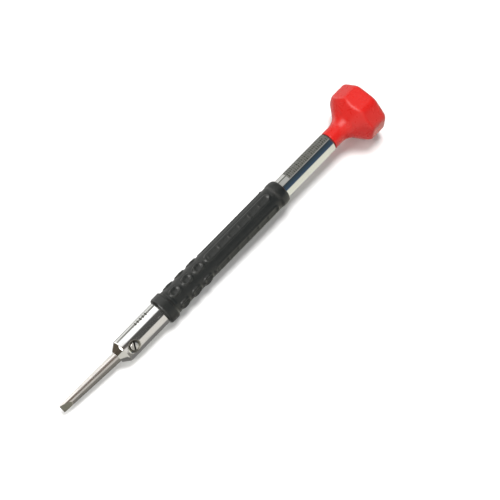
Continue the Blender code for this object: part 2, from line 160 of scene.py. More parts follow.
def revolve(outline):
    """Mesh of a closed (x, r) outline turned about the x axis. Points with r = 0 are poles."""
    bm = bmesh.new()
    rings = []
    turns = [TAU * k / TURNED_STEPS for k in range(TURNED_STEPS)]
    for x, r in outline:
        if r == 0.0:
            rings.append([bm.verts.new((x, 0.0, 0.0))])
            continue
        rings.append([bm.verts.new((x, r * math.cos(turn), r * math.sin(turn))) for turn in turns])
    for ring, following in zip(rings, rings[1:] + rings[:1]):
        if len(ring) == 1 and len(following) == 1:
            continue
        for index in range(TURNED_STEPS):
            after = (index + 1) % TURNED_STEPS
            corners = [ring[index % len(ring)], ring[after % len(ring)],
                       following[after % len(following)], following[index % len(following)]]
            bm.faces.new(list(dict.fromkeys(corners)))
    return bm


def join_rings(bm, rings, closed):
    """Join rings of points in order, and the last one to the first if closed."""
    made = [[bm.verts.new(point) for point in ring] for ring in rings]
    count = len(made[0])
    for ring, following in zip(made, made[1:] + made[:1] if closed else made[1:]):
        for index in range(count):
            after = (index + 1) % count
            bm.faces.new((ring[index], ring[after], following[after], following[index]))
    return made


def solid_of_rings(rings):
    """Mesh of rings of points joined in order, with both ends closed."""
    bm = bmesh.new()
    made = join_rings(bm, rings, closed=False)
    bm.faces.new(made[0])
    bm.faces.new(made[-1])
    return bm


def sleeve_of_rings(sections, angles):
    """Mesh of (x, radii) sections along the outside of a sleeve and back through its bore.

    The angles of the radii are measured from straight up towards +y.
    """
    bm = bmesh.new()
    rings = [[(x, r * math.sin(a), r * math.cos(a)) for r, a in zip(radii, angles)]
             for x, radii in sections]
    join_rings(bm, rings, closed=True)
    return bm


def make_object(name, bm, place=TOOL):
    """Object with an outward, smooth-shaded mesh that is moved into the model's frame."""
    bmesh.ops.recalc_face_normals(bm, faces=bm.faces)
    bm.transform(place)
    mesh = bpy.data.meshes.new(name)
    bm.to_mesh(mesh)
    bm.free()
    mesh.shade_smooth()
    mesh.set_sharp_from_angle(angle=SHARP_ANGLE)
    obj = bpy.data.objects.new(name, mesh)
    bpy.context.scene.collection.objects.link(obj)
    return obj


def apply_modifiers(obj):
    """Bake the modifiers into the mesh, then mark its sharp edges again."""
    graph = bpy.context.evaluated_depsgraph_get()
    shaped = bpy.data.meshes.new_from_object(obj.evaluated_get(graph))
    obj.modifiers.clear()
    obj.data = shaped
    shaped.shade_smooth()
    shaped.set_sharp_from_angle(angle=SHARP_ANGLE)


def cut_away(obj, cutters):
    """Subtract the cutters from the object. The new faces take the cutters' materials, if any."""
    for cutter in cutters:
        boolean = obj.modifiers.new("cut", "BOOLEAN")
        boolean.material_mode = "TRANSFER"
        boolean.operation = "DIFFERENCE"
        boolean.solver = "EXACT"
        boolean.object = cutter
    bpy.context.view_layer.update()
    apply_modifiers(obj)
    for cutter in cutters:
        bpy.data.objects.remove(cutter, do_unlink=True)


def box_cutter(size, place):
    bm = bmesh.new()
    bmesh.ops.create_cube(bm, size=1.0)
    bmesh.ops.scale(bm, vec=Vector(size), verts=bm.verts)
    return make_object("cutter", bm, place)


def finish_piece(obj, material, node):
    """Give a piece its finish and let it stand for one CAD node, on that node's body."""
    if material.name not in obj.data.materials:
        obj.data.materials.clear()
        obj.data.materials.append(material)
    weighted = obj.modifiers.new("even_shading", "WEIGHTED_NORMAL")
    weighted.keep_sharp = True
    weighted.weight = 90
    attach(obj, frame["nodes"][node]["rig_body"])
    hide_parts(node)


# ---- material helpers ----
MIX_FIRST, MIX_SECOND = 6, 7      # the colour sockets of a Mix node
MIX_RESULT = 2


class Finish:
    """A procedural material on one Principled shader, wired step by step."""

    def __init__(self, name, color, roughness, metallic=0.0, specular=0.5):
        self.material = bpy.data.materials.new(name)
        self.material.use_nodes = True
        self.tree = self.material.node_tree
        self.shader = self.tree.nodes["Principled BSDF"]
        self.shader.inputs["Base Color"].default_value = (*color, 1.0)
        self.shader.inputs["Roughness"].default_value = roughness
        self.shader.inputs["Metallic"].default_value = metallic
        self.shader.inputs["Specular IOR Level"].default_value = specular
        self.place = self.seen_from(TOOL)
        self.height = None

    def seen_from(self, matrix):
        """The surface's place in the frame that the matrix stands for."""
        node = self.tree.nodes.new("ShaderNodeMapping")
        node.vector_type = "TEXTURE"
        node.inputs["Location"].default_value = matrix.to_translation()
        node.inputs["Rotation"].default_value = matrix.to_euler()
        coordinates = self.tree.nodes.new("ShaderNodeTexCoord")
        self.tree.links.new(coordinates.outputs["Object"], node.inputs["Vector"])
        return node.outputs["Vector"]

    def put(self, node, socket, value):
        """Set a socket to a number, a colour or another node's output."""
        if isinstance(value, bpy.types.NodeSocket):
            self.tree.links.new(value, node.inputs[socket])
        else:
            node.inputs[socket].default_value = value

    def stretched(self, scale):
        """The tool's coordinates, scaled differently along x, y and z."""
        node = self.tree.nodes.new("ShaderNodeMapping")
        node.inputs["Scale"].default_value = scale
        self.put(node, "Vector", self.place)
        return node.outputs["Vector"]

    def noise(self, scale, detail, stretch=None, distortion=0.0):
        """Noise whose patches are about 1 / scale metres across."""
        node = self.tree.nodes.new("ShaderNodeTexNoise")
        node.inputs["Scale"].default_value = scale
        node.inputs["Detail"].default_value = detail
        node.inputs["Distortion"].default_value = distortion
        self.put(node, "Vector", self.stretched(stretch) if stretch else self.place)
        return node.outputs["Fac"]

    def band(self, value, low, high, out_low=0.0, out_high=1.0):
        """Map value smoothly from low..high to out_low..out_high, held at both ends."""
        node = self.tree.nodes.new("ShaderNodeMapRange")
        node.interpolation_type = "SMOOTHSTEP"
        self.put(node, "Value", value)
        node.inputs["From Min"].default_value = low
        node.inputs["From Max"].default_value = high
        node.inputs["To Min"].default_value = out_low
        node.inputs["To Max"].default_value = out_high
        return node.outputs["Result"]

    def math(self, operation, first, second=0.0):
        """Result of one arithmetic step."""
        node = self.tree.nodes.new("ShaderNodeMath")
        node.operation = operation
        self.put(node, 0, first)
        self.put(node, 1, second)
        return node.outputs[0]

    def axes(self, place=None):
        """The x, y and z coordinates of a place as three values."""
        node = self.tree.nodes.new("ShaderNodeSeparateXYZ")
        self.put(node, "Vector", place or self.place)
        return node.outputs[0], node.outputs[1], node.outputs[2]

    def mix(self, share, first, second):
        """Blend of two colours."""
        node = self.tree.nodes.new("ShaderNodeMix")
        node.data_type = "RGBA"
        self.put(node, "Factor", share)
        for socket, value in ((MIX_FIRST, first), (MIX_SECOND, second)):
            self.put(node, socket, (*value, 1.0) if isinstance(value, tuple) else value)
        return node.outputs[MIX_RESULT]

    def color(self, value):
        self.put(self.shader, "Base Color", value)

    def roughness(self, value):
        self.put(self.shader, "Roughness", value)

    def bump(self, height, depth, strength):
        """Add relief of about this depth in metres on top of any earlier one."""
        node = self.tree.nodes.new("ShaderNodeBump")
        node.inputs["Strength"].default_value = strength
        node.inputs["Distance"].default_value = depth
        self.put(node, "Height", height)
        if self.height is not None:
            self.put(node, "Normal", self.height)
        self.height = node.outputs["Normal"]
        self.put(self.shader, "Normal", self.height)


# ---- materials ----
CHROME_COLOR = (0.80, 0.80, 0.785)
MARK_COLOR = (0.075, 0.078, 0.062)
# painted shade colour for the mouth of the clamp screw's hole
HOLE_SHADE_COLOR = (0.26, 0.25, 0.22)
BAND_FRONT = 82.1 * MM            # etched grip band on the rear shaft
BAND_LOW = math.radians(-6.0)     # its sides, as angles from straight up towards +y
BAND_HIGH = math.radians(63.0)
TICKS_FRONT = 26.4 * MM           # row of etched ticks on the nose
TICKS_REAR = 31.6 * MM
TICKS_LOW = math.radians(24.0)
TICKS_HIGH = math.radians(44.0)
TICK_PITCH = 0.9 * MM
BAR_PITCH = 0.62 * MM             # short bars that fill the etched band
BAR_ROW_PITCH = math.radians(19.0)
MARK_EDGE = math.radians(1.5)     # softness of the marks' sides
SOFT_EDGE = 0.1 * MM              # softness of their ends

# Name: colour, roughness, how much the gloss varies, fineness and stretch of the cutting lines.
METALS = {
    "blade_steel_ground": ((0.68, 0.66, 0.635), 0.13, 0.05, 1700.0, (0.25, 1.6, 1.6)),
    # the tip's flats: the same steel, its colour painted darker as shade
    "blade_tip_ground": ((0.28, 0.275, 0.235), 0.34, 0.14, 2600.0, (3.0, 0.4, 0.4)),
    "clamp_steel_turned": ((0.86, 0.85, 0.81), 0.20, 0.08, 1800.0, (1.0, 1.0, 1.0)),
    # the clamp screw's slot: its faces painted near-black as shade
    "clamp_slot_oiled": ((0.075, 0.072, 0.062), 0.45, 0.14, 1800.0, (1.0, 1.0, 1.0)),
    "bearing_steel_lapped": ((0.70, 0.71, 0.72), 0.10, 0.08, 2400.0, (0.3, 1.0, 1.0)),
    "shield_steel_pressed": ((0.55, 0.56, 0.58), 0.26, 0.14, 1600.0, (1.0, 1.0, 1.0)),
    "cage_brass_stamped": ((0.78, 0.60, 0.28), 0.24, 0.14, 1800.0, (0.4, 1.0, 1.0)),
    "bush_bronze_sintered": ((0.60, 0.42, 0.22), 0.34, 0.20, 5200.0, (1.0, 1.0, 1.0)),
    "screw_steel_turned": ((0.68, 0.67, 0.64), 0.18, 0.12, 2000.0, (2.5, 0.5, 0.5)),
}


def worn_metal(name):
    """Polished or ground metal: uneven gloss, fine lines along the last cut and a few smudges."""
    color, roughness, spread, lines, stretch = METALS[name]
    finish = Finish(name, color, roughness, metallic=1.0)
    smudge = finish.band(finish.noise(260.0, 4.0, distortion=0.6), 0.42, 0.70)
    grain = finish.noise(lines, 2.0, stretch)
    gloss = finish.math("MULTIPLY", grain, spread)
    gloss = finish.math("ADD", gloss, finish.math("MULTIPLY", smudge, spread))
    finish.roughness(finish.math("ADD", gloss, roughness))
    finish.color(finish.mix(smudge, color, tuple(0.90 * part for part in color)))
    finish.bump(grain, 0.6e-6 + 4.0e-6 * spread, 0.5)
    return finish.material


def chrome_material():
    """Chrome plate with turning lines, light scratches, etched marks and painted shade round the clamp
    screw's hole.
    """
    finish = Finish("chrome_plate_polished", CHROME_COLOR, 0.07, metallic=1.0)
    x, y, z = finish.axes()
    angle = finish.math("ARCTAN2", y, z)

    def window(value, low, high, soft):
        """1 between low and high and 0 elsewhere, with soft sides."""
        rise = finish.band(value, low - soft, low + soft)
        fall = finish.band(value, high - soft, high + soft, 1.0, 0.0)
        return finish.math("MULTIPLY", rise, fall)

    # worn etched band: short bars across it, broken up by wear
    band = finish.math("MULTIPLY", window(angle, BAND_LOW, BAND_HIGH, MARK_EDGE),
                       finish.band(x, BAND_FRONT - SOFT_EDGE, BAND_FRONT + SOFT_EDGE))
    bars = finish.math("SINE", finish.math("MULTIPLY", x, TAU / BAR_PITCH))
    bars = finish.band(bars, -0.4, 0.5)
    rows = finish.math("SINE", finish.math("MULTIPLY", angle, TAU / BAR_ROW_PITCH))
    rows = finish.band(rows, -0.95, -0.35)
    wear = finish.band(finish.noise(2600.0, 4.0, (0.6, 1.0, 1.0), 0.4), 0.36, 0.60)
    etched = finish.math("MULTIPLY", finish.math("MULTIPLY", bars, rows), wear)
    etched = finish.math("MULTIPLY", finish.band(etched, 0.0, 1.0, 0.72, 1.0), band)

    ticks = finish.math("SINE", finish.math("MULTIPLY", x, TAU / TICK_PITCH))
    ticks = finish.math("MULTIPLY", finish.band(ticks, 0.1, 0.5),
                        window(angle, TICKS_LOW, TICKS_HIGH, MARK_EDGE))
    ticks = finish.math("MULTIPLY", ticks, window(x, TICKS_FRONT, TICKS_REAR, SOFT_EDGE))
    mark = finish.math("MAXIMUM", etched, ticks)

    # painted shade: darker, rougher chrome in the mouth of the clamp screw's hole
    near_x, near_y, above = finish.axes(finish.seen_from(CLAMP))
    reach = finish.math("SQRT", finish.math("ADD", finish.math("MULTIPLY", near_x, near_x),
                                            finish.math("MULTIPLY", near_y, near_y)))
    reach = finish.math("ADD", reach, finish.band(finish.noise(2200.0, 3.0), 0.3, 0.7, 0.0, 0.10 * MM))
    hole_mouth_shade = finish.band(reach, CLAMP_MOUTH_RADIUS - 0.02 * MM, CLAMP_MOUTH_RADIUS + 0.07 * MM, 1.0, 0.0)
    hole_mouth_shade = finish.math("MULTIPLY", hole_mouth_shade, finish.band(above, 1.0 * MM, 1.2 * MM))

    smudge = finish.band(finish.noise(210.0, 4.0, distortion=0.8), 0.45, 0.75)
    lines = finish.noise(1500.0, 2.0, (4.0, 0.25, 0.25))
    scratch = finish.band(finish.noise(900.0, 2.0, (0.12, 1.6, 1.6), 0.3), 0.66, 0.72)
    tint = finish.mix(smudge, CHROME_COLOR, (0.74, 0.735, 0.71))
    finish.color(finish.mix(hole_mouth_shade, finish.mix(mark, tint, MARK_COLOR), HOLE_SHADE_COLOR))
    gloss = finish.math("MULTIPLY", smudge, 0.06)
    gloss = finish.math("ADD", gloss, finish.math("MULTIPLY", lines, 0.05))
    gloss = finish.math("ADD", gloss, finish.math("MULTIPLY", scratch, 0.10))
    gloss = finish.math("ADD", gloss, finish.math("MULTIPLY", mark, 0.34))
    gloss = finish.math("ADD", gloss, finish.math("MULTIPLY", hole_mouth_shade, 0.36))
    finish.roughness(finish.math("ADD", gloss, 0.045))
    finish.bump(lines, 0.25e-6, 0.4)
    finish.bump(mark, -8.0e-6, 0.6)
    return finish.material


def rubber_material():
    """Moulded black rubber: matt grain, faint dust and slightly shinier worn places."""
    finish = Finish("grip_rubber_moulded", (0.010, 0.011, 0.0105), 0.38, specular=0.62)
    cloud = finish.noise(420.0, 4.0, distortion=0.4)
    dust = finish.band(finish.noise(3800.0, 3.0), 0.56, 0.72)
    dust = finish.math("MULTIPLY", dust, finish.band(cloud, 0.40, 0.66))
    finish.color(finish.mix(dust, (0.008, 0.009, 0.0085), (0.026, 0.027, 0.024)))
    finish.roughness(finish.band(cloud, 0.3, 0.7, 0.30, 0.40))
    finish.bump(finish.noise(5200.0, 3.0), 14.0e-6, 0.5)
    finish.bump(cloud, 40.0e-6, 0.4)
    return finish.material


def red_material():
    """Glossy injection-moulded plastic: faint orange peel, fine handling marks, flow streaks."""
    finish = Finish("red_plastic_moulded", (0.46, 0.012, 0.009), 0.30, specular=0.5)
    streak = finish.noise(90.0, 3.0, (0.6, 1.4, 1.4), 0.5)
    finish.color(finish.mix(finish.band(streak, 0.3, 0.7), (0.48, 0.013, 0.010), (0.44, 0.011, 0.008)))
    haze = finish.band(finish.noise(520.0, 5.0, distortion=0.5), 0.40, 0.72)
    scuff = finish.band(finish.noise(1500.0, 2.0, (0.3, 1.6, 1.6), 0.8), 0.62, 0.70)
    gloss = finish.math("ADD", finish.math("MULTIPLY", haze, 0.06), finish.math("MULTIPLY", scuff, 0.04))
    finish.roughness(finish.math("ADD", gloss, 0.27))
    finish.bump(finish.noise(1900.0, 2.0), 5.0e-6, 0.30)
    return finish.material


def nylon_material():
    """Dark moulded nylon with a fine matt grain."""
    finish = Finish("washer_nylon_matt", (0.030, 0.030, 0.030), 0.50)
    grain = finish.noise(4200.0, 3.0)
    finish.color(finish.mix(grain, (0.022, 0.022, 0.022), (0.042, 0.041, 0.039)))
    finish.roughness(finish.band(grain, 0.3, 0.7, 0.42, 0.60))
    finish.bump(grain, 8.0e-6, 0.5)
    return finish.material


# ---- barrel ----
CONE_LENGTH = 1.9 * MM
NOSE_TIP_RADIUS = 1.85 * MM
SHAFT_RADIUS = 2.75 * MM
SHAFT_REAR = NECK_FRONT - 0.35 * MM
JOURNAL_RADIUS = 1.75 * MM
JOURNAL_END = NECK_FRONT + 7.15 * MM
SEAT_RADIUS = 1.47 * MM
TAP_RADIUS = 0.80 * MM
TAP_DEPTH = 4.4 * MM
BORE_RADIUS = 1.5 * MM


def tube_along_z(outline, steps):
    """Mesh of an open (z, r) outline turned about the z axis, closed at both ends."""
    return solid_of_rings([[(r * math.cos(TAU * k / steps), r * math.sin(TAU * k / steps), z)
                            for k in range(steps)] for z, r in outline])


def build_barrel(material):
    """Nose, rear shaft and spindle turned from one bar, bored for the blade and the clamp screw."""
    bore_end = SHANK_END + 0.6 * MM
    drill_point = 0.9 * MM
    lead_in = 0.15 * MM
    nose_end = GRIP_FRONT - 0.1 * MM
    tap_end = SPINDLE_END - TAP_DEPTH
    # (x, r, fillet)
    corners = [
        (bore_end + drill_point, 0.0, 0.0),
        (bore_end, BORE_RADIUS, 0.0),
        (NOSE_FRONT + lead_in, BORE_RADIUS, 0.0),
        (NOSE_FRONT, BORE_RADIUS + lead_in, 0.04 * MM),
        (NOSE_FRONT, NOSE_TIP_RADIUS, 0.12 * MM),
        (NOSE_FRONT + CONE_LENGTH, NOSE_RADIUS, 1.0 * MM),
        (nose_end, NOSE_RADIUS, 0.10 * MM),
        (nose_end, SHAFT_RADIUS, 0.0),
        (SHAFT_REAR, SHAFT_RADIUS, 0.14 * MM),
        (SHAFT_REAR, JOURNAL_RADIUS, 0.0),
        (JOURNAL_END, JOURNAL_RADIUS, 0.10 * MM),
        (JOURNAL_END, SEAT_RADIUS, 0.0),
        (SPINDLE_END, SEAT_RADIUS, 0.15 * MM),
        (SPINDLE_END, TAP_RADIUS, 0.05 * MM),
        (tap_end, TAP_RADIUS, 0.0),
        (tap_end - 0.6 * TAP_RADIUS, 0.0, 0.0),
    ]
    barrel = make_object("chrome_barrel", revolve(soften(corners)))
    flare = (CLAMP_MOUTH_RADIUS - CLAMP_HOLE_RADIUS) / CLAMP_MOUTH_DEPTH
    above = 0.5 * MM
    mouth = [
        (0.0, CLAMP_HOLE_RADIUS),
        (CLAMP_OUTER - CLAMP_MOUTH_DEPTH, CLAMP_HOLE_RADIUS),
        (CLAMP_OUTER + above, CLAMP_MOUTH_RADIUS + flare * above),
    ]
    cut_away(barrel, [make_object("cutter", tube_along_z(mouth, CLAMP_HOLE_STEPS), CLAMP)])
    finish_piece(barrel, material, "barrel")


# ---- grip ----
GROOVE_FRONT = GRIP_FRONT + 3.4 * MM
GROOVE_REAR = GRIP_FRONT + 4.3 * MM
GROOVE_RADIUS = 3.50 * MM
VALLEY_RADIUS = 3.42 * MM         # rubber between the pads
GRIP_BORE = SHAFT_RADIUS + 0.05 * MM
PAD_ROWS = 5
FIRST_ROW = math.radians(4.5)     # from straight up towards +y
PAD_HALF_WIDTH = 1.48 * MM
SHORT_PAD_FRONT = 38.15 * MM
SHORT_PAD_LENGTH = 3.75 * MM
PAD_PITCH = 4.2 * MM
SHORT_PADS = 3
SHORT_PAD_HEIGHT = 0.48 * MM
SHORT_PAD_FALL = 0.62             # share of its height that a short pad loses at its ends
SHORT_PAD_ARCH = 1.4              # higher keeps the middle of a short pad flatter
LONG_PAD_HEIGHT = 0.20 * MM
LONG_PAD_REAR = 75.0 * MM
PAD_FOOT = -0.05 * MM             # where a pad starts to rise, inwards from its edge
PAD_RIM = 0.42 * MM               # where its rim is highest
PAD_HOLLOW = 1.25 * MM            # where its hollow is deepest
HOLLOW_SHARE = 0.85               # depth of a pad's hollow over the height of its rim
PAD_RADIUS = 3.8 * MM             # where distances round the grip are measured
REAR_COLLAR_FRONT = 76.3 * MM
FIRST_RIB = 52.2 * MM
RIB_PITCH = 3.75 * MM
RIB_HEIGHT = 0.13 * MM
RIB_HALF_LENGTH = 0.32 * MM
RIB_HALF_WIDTH = 0.6 * MM
GRIP_REAR_RADIUS = 3.6 * MM
GRIP_FRONT_ROUND = 0.75 * MM
GRIP_REAR_ROUND = 1.7 * MM
GRIP_STEPS = 240                  # steps round the grip
GRIP_SPACING = 0.14 * MM          # between its rings


def smooth_step(value, low, high):
    """Smooth rise from 0 at low to 1 at high."""
    share = np.clip((value - low) / (high - low), 0.0, 1.0)
    return share * share * (3.0 - 2.0 * share)


def pad_depth(x, across, front, rear, half_width):
    """How far inside a stadium-shaped pad a point is, negative outside it."""
    nearest = np.clip(x, front + half_width, max(rear - half_width, front + half_width))
    return half_width - np.hypot(x - nearest, across)


def grip_surface(x, angle):
    """Outer radius of the rubber at x along the tool and angle from straight up towards +y."""
    pitch = TAU / PAD_ROWS
    across = (np.mod(angle - FIRST_ROW + 0.5 * pitch, pitch) - 0.5 * pitch) * PAD_RADIUS
    radius = np.full_like(x, VALLEY_RADIUS)
    for index in range(SHORT_PADS + 1):
        front = SHORT_PAD_FRONT + index * PAD_PITCH
        if index < SHORT_PADS:
            rear = front + SHORT_PAD_LENGTH
            off_center = np.abs(2.0 * (x - front) / SHORT_PAD_LENGTH - 1.0)
            fall = SHORT_PAD_FALL * np.minimum(off_center, 1.0) ** SHORT_PAD_ARCH
            height = SHORT_PAD_HEIGHT * (1.0 - fall)
        else:
            rear = LONG_PAD_REAR
            height = LONG_PAD_HEIGHT
        depth = pad_depth(x, across, front, rear, PAD_HALF_WIDTH)
        rim = smooth_step(depth, PAD_FOOT, PAD_RIM)
        hollow = smooth_step(depth, PAD_RIM, PAD_HOLLOW)
        radius += height * (rim - HOLLOW_SHARE * hollow)
    for place in np.arange(FIRST_RIB, REAR_COLLAR_FRONT, RIB_PITCH):
        along = np.exp(-((x - place) / RIB_HALF_LENGTH) ** 2)
        radius += RIB_HEIGHT * along * np.exp(-(across / RIB_HALF_WIDTH) ** 2)
    groove = smooth_step(x, GROOVE_REAR - 0.45 * MM, GROOVE_REAR + 0.15 * MM)
    radius = GROOVE_RADIUS + (radius - GROOVE_RADIUS) * groove
    collar = 1.0 - smooth_step(x, GROOVE_FRONT - 0.55 * MM, GROOVE_FRONT + 0.10 * MM)
    radius += (COLLAR_RADIUS - radius) * collar
    rear = smooth_step(x, REAR_COLLAR_FRONT - 0.5 * MM, REAR_COLLAR_FRONT + 0.6 * MM)
    radius += (GRIP_REAR_RADIUS - radius) * rear
    return radius


def build_grip(material):
    """Rubber sleeve: front collar, groove, five rows of dished pads with ribs, rounded rear end."""
    angles = TAU * np.arange(GRIP_STEPS) / GRIP_STEPS
    front_lip = COLLAR_RADIUS - GRIP_FRONT_ROUND
    rear_lip = GRIP_BORE + 0.12 * MM
    first = GRIP_FRONT + GRIP_FRONT_ROUND + 0.12 * MM
    last = GRIP_REAR - GRIP_REAR_ROUND
    # each station is (x, share of the way down to the lip's radius, that radius)
    stations = [(GRIP_FRONT + GRIP_FRONT_ROUND * (1.0 - math.cos(turn)), 1.0 - math.sin(turn), front_lip)
                for turn in np.linspace(0.0, 0.5 * math.pi, 9)]
    stations += [(x, 0.0, front_lip) for x in np.arange(first, last, GRIP_SPACING)]
    stations += [(GRIP_REAR - GRIP_REAR_ROUND * (1.0 - math.sin(turn)), 1.0 - math.cos(turn), rear_lip)
                 for turn in np.linspace(0.0, 0.5 * math.pi, 13)]
    sections = []
    for x, cut, lip in stations:
        outer = grip_surface(np.full(GRIP_STEPS, x), angles)
        sections.append((x, outer - cut * (outer - lip)))
    sections += [(x, np.full(GRIP_STEPS, GRIP_BORE)) for x in (GRIP_REAR, GRIP_FRONT)]
    grip = make_object("rubber_grip", sleeve_of_rings(sections, angles))
    finish_piece(grip, material, "grip_sleeve")


# ---- blade ----
BLADE_RADIUS = 1.45 * MM
BLADE_TIP_RADIUS = 1.08 * MM
BLADE_BEND = 0.72 * MM            # how far the tip is off the axis towards +y
BLADE_STEPS = 96
SHANK_CHAMFER = 0.18 * MM
TIP_THICKNESS = 0.34 * MM
TIP_FLAT_LENGTH = 2.6 * MM
TIP_ROLL = math.radians(46.0)     # turn of the tip's flats towards -y


def build_blade(material, ground):
    """Round shank, tapered and slightly bent in front of the nose, with a ground flat tip whose flats
    are painted darker as shade.
    """
    places = list(np.linspace(0.0, NOSE_FRONT, 25))
    places += [NOSE_FRONT + 4.0 * MM, SHANK_END - SHANK_CHAMFER, SHANK_END]
    rings = []
    for x in places:
        free = max(0.0, 1.0 - x / NOSE_FRONT)
        radius = BLADE_RADIUS + (BLADE_TIP_RADIUS - BLADE_RADIUS) * free
        if x == SHANK_END:
            radius -= SHANK_CHAMFER
        rings.append([(x, BLADE_BEND * free + radius * math.cos(TAU * k / BLADE_STEPS),
                       radius * math.sin(TAU * k / BLADE_STEPS)) for k in range(BLADE_STEPS)])
    blade = make_object("steel_blade", solid_of_rings(rings))
    blade.data.materials.append(material)
    slope = math.atan2(BLADE_TIP_RADIUS - 0.5 * TIP_THICKNESS, TIP_FLAT_LENGTH)
    depth = 4.0 * MM
    aim = TOOL @ Matrix.Translation((0.0, BLADE_BEND, 0.0)) @ Matrix.Rotation(TIP_ROLL, 4, "X")
    cutters = []
    for side in (1.0, -1.0):
        normal = Vector((-math.sin(slope), 0.0, side * math.cos(slope)))
        middle = Vector((0.0, 0.0, side * 0.5 * TIP_THICKNESS)) + normal * (0.5 * depth)
        place = aim @ Matrix.Translation(middle) @ Matrix.Rotation(-side * slope, 4, "Y")
        cutters.append(box_cutter((16.0 * MM, 8.0 * MM, depth), place))
        # the cut flats take the tip's steel, whose darker colour is painted shade
        cutters[-1].data.materials.append(ground)
    cut_away(blade, cutters)
    finish_piece(blade, material, "blade")


# ---- clamp screw ----
CLAMP_SLOT_WIDTH = 0.46 * MM
CLAMP_SLOT_DEPTH = 0.6 * MM
CLAMP_SLOT_TURN = math.radians(62.0)
CLAMP_EDGE = 0.20 * MM


def build_clamp_screw(material, shade):
    """Slotted grub screw with a rounded outer edge, a chamfered inner end and a slot whose faces are
    painted dark as shade.
    """
    chamfer = 2.0 * CLAMP_EDGE
    outline = [(CLAMP_INNER, CLAMP_RADIUS - chamfer), (CLAMP_INNER + chamfer, CLAMP_RADIUS)]
    outline += [(CLAMP_OUTER - CLAMP_EDGE * (1.0 - math.cos(a)),
                 CLAMP_RADIUS - CLAMP_EDGE * (1.0 - math.sin(a)))
                for a in np.linspace(0.5 * math.pi, 0.0, 6)]
    screw = make_object("steel_clamp_screw", tube_along_z(outline, CLAMP_SCREW_STEPS), CLAMP)
    slot = box_cutter((4.0 * MM, CLAMP_SLOT_WIDTH, 2.0 * CLAMP_SLOT_DEPTH),
                      CLAMP @ Matrix.Translation((0.0, 0.0, CLAMP_OUTER))
                      @ Matrix.Rotation(CLAMP_SLOT_TURN, 4, "Z"))
    screw.data.materials.append(material)
    slot.data.materials.append(shade)
    cut_away(screw, [slot])
    finish_piece(screw, material, "clamp_screw")


# ---- head ----
NECK_RADIUS = 2.67 * MM
RIM_FRONT = HEAD_BACK - 5.5 * MM  # where the cone reaches the rim's corners
RIM_APOTHEM = 7.45 * MM           # from the axis to a flat
RIM_BACK_ROUND = 1.3 * MM
RIM_FLATS = 8
RIM_STEPS = 320                   # steps round the head
CONE_OVERRUN = 1.06               # how far past the rim the cone runs before the flats are cut
CONE_ANGLE = math.radians(50.0)
SWEEP_RADIUS = 5.2 * MM
FACET_SOFTNESS = 24.0             # higher gives crisper edges between the rim's flats
FACET_SWELL = 1.012               # makes up for what the soft edges take off
DISH_SEAT = DISH_RADIUS + 0.05 * MM


def head_section():
    """Outside of the head before its flats: neck, sweep and a cone that runs past the rim."""
    tangent_r = NECK_RADIUS + SWEEP_RADIUS * (1.0 - math.cos(CONE_ANGLE))
    tangent_x = RIM_FRONT - (RIM_RADIUS - tangent_r) / math.tan(CONE_ANGLE)
    center_x = tangent_x - SWEEP_RADIUS * math.sin(CONE_ANGLE)
    neck = soften([(NECK_FRONT, NECK_RADIUS - 0.5 * MM, 0.0), (NECK_FRONT, NECK_RADIUS, 0.18 * MM),
                   (center_x, NECK_RADIUS, 0.0)])[1:-1]
    sweep = [(center_x + SWEEP_RADIUS * math.sin(a), NECK_RADIUS + SWEEP_RADIUS * (1.0 - math.cos(a)))
             for a in np.linspace(0.0, CONE_ANGLE, 28)]
    past_rim = CONE_OVERRUN * RIM_RADIUS
    cone = [(RIM_FRONT + (past_rim - RIM_RADIUS) / math.tan(CONE_ANGLE), past_rim),
            (HEAD_BACK - RIM_BACK_ROUND, past_rim)]
    return neck + sweep + cone


def resample(outline, spacing):
    """Add points to an open outline so that none are further apart than the spacing."""
    dense = [outline[0]]
    for point in outline[1:]:
        last = dense[-1]
        count = max(1, math.ceil(math.dist(last, point) / spacing))
        for share in (step / count for step in range(1, count + 1)):
            dense.append((last[0] + (point[0] - last[0]) * share,
                          last[1] + (point[1] - last[1]) * share))
    return dense


def flatted_radius(radius, angles):
    """Radii once the rim's flats are cut, with soft edges. The first flat faces straight down."""
    total = np.full_like(angles, (1.0 / radius) ** FACET_SOFTNESS)
    for index in range(RIM_FLATS):
        reach = np.maximum(np.cos(angles - math.pi - TAU * index / RIM_FLATS), 0.0)
        total += (reach / RIM_APOTHEM) ** FACET_SOFTNESS
    return FACET_SWELL * total ** (-1.0 / FACET_SOFTNESS)


def build_head_shell(material):
    """Flared moulding whose rim has eight soft flats that scallop into the flare."""
    outer = [(x, r, 0.0) for x, r in resample(head_section(), 0.16 * MM)]
    for turn in np.linspace(0.0, 0.5 * math.pi, 9)[1:]:
        x = HEAD_BACK - RIM_BACK_ROUND * (1.0 - math.sin(turn))
        outer.append((x, outer[-1][1], RIM_BACK_ROUND * (1.0 - math.cos(turn))))
    bearing_front, _, bearing_radius = extent("bearing_outer_ring")
    _, bush_back, bush_radius = extent("neck_bush")
    gap = 0.05 * MM
    web = bearing_front - 0.5 * MM
    throat = JOURNAL_RADIUS + 0.2 * MM
    inner = [
        (HEAD_BACK - 0.1 * MM, DISH_SEAT), (DISH_FRONT - gap, DISH_SEAT),
        (DISH_FRONT - gap, bearing_radius + gap), (bearing_front - gap, bearing_radius + gap),
        (bearing_front - gap, bearing_radius - 0.4 * MM),
        (web, bearing_radius - 0.7 * MM),
        (web, throat),
        (bush_back + gap, throat), (bush_back + gap, bush_radius + gap),
        (NECK_FRONT, bush_radius + gap),
    ]
    angles = TAU * np.arange(RIM_STEPS) / RIM_STEPS
    sections = [(x, flatted_radius(r, angles) - inset) for x, r, inset in outer]
    sections += [(x, np.full(RIM_STEPS, r)) for x, r in inner]
    head = make_object("red_head_shell", sleeve_of_rings(sections, angles))
    finish_piece(head, material, "head_shell")


